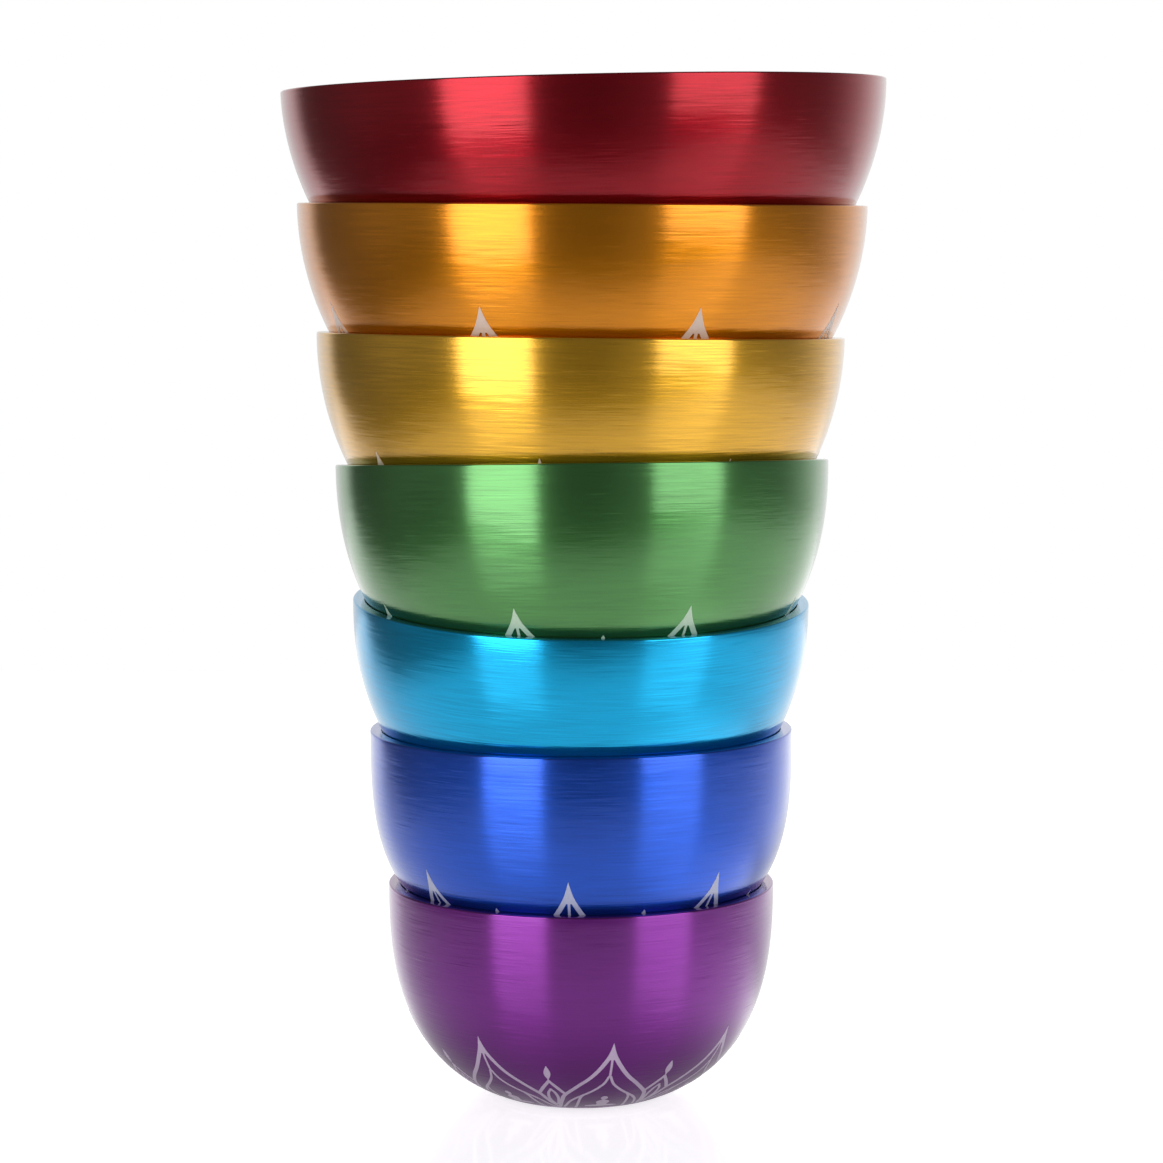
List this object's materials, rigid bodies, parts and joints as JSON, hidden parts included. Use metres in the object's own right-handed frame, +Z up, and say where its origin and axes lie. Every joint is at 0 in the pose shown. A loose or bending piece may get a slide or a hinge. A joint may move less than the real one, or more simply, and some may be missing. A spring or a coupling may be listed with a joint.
{
  "type": "nested singing bowl set",
  "caption": "Stack of round anodised aluminium singing bowls in rainbow colours, each larger bowl nested in the mouth of the next smaller one and free to lift out.",
  "frame": {"origin": "middle of the violet bowl's flat foot, on the surface that the stack stands on", "axes": "+Z up through the stack, -Y towards the viewer of the picture, +X to the viewer's right"},
  "size_m": [0.1499, 0.1498, 0.2582],
  "materials": {
    "violet_anodised": "satin anodised, turned with fine circumferential brushing",
    "blue_anodised": "satin anodised, turned with fine circumferential brushing",
    "sky_blue_anodised": "satin anodised, turned with fine circumferential brushing",
    "green_anodised": "satin anodised, turned with fine circumferential brushing",
    "yellow_anodised": "satin anodised, turned with fine circumferential brushing",
    "orange_anodised": "satin anodised, turned with fine circumferential brushing",
    "red_anodised": "satin anodised, turned with fine circumferential brushing",
    "etched_line": "matt pale grey, where the dyed layer is etched away in the lotus border"
  },
  "bodies": {
    "violet": {"violet_bowl": "violet_anodised"},
    "blue": {"blue_bowl": "blue_anodised"},
    "sky_blue": {"sky_blue_bowl": "sky_blue_anodised"},
    "green": {"green_bowl": "green_anodised"},
    "yellow": {"yellow_bowl": "yellow_anodised"},
    "orange": {"orange_bowl": "orange_anodised"},
    "red": {"red_bowl": "red_anodised"}
  },
  "joints": [
    {"name": "blue_lift", "type": "slide", "parent": "violet", "child": "blue", "axis": [0, 0, 1], "range_m": [0, 0.06]},
    {"name": "sky_blue_lift", "type": "slide", "parent": "blue", "child": "sky_blue", "axis": [0, 0, 1], "range_m": [0, 0.06]},
    {"name": "green_lift", "type": "slide", "parent": "sky_blue", "child": "green", "axis": [0, 0, 1], "range_m": [0, 0.06]},
    {"name": "yellow_lift", "type": "slide", "parent": "green", "child": "yellow", "axis": [0, 0, 1], "range_m": [0, 0.06]},
    {"name": "orange_lift", "type": "slide", "parent": "yellow", "child": "orange", "axis": [0, 0, 1], "range_m": [0, 0.06]},
    {"name": "red_lift", "type": "slide", "parent": "orange", "child": "red", "axis": [0, 0, 1], "range_m": [0, 0.06]}
  ]
}
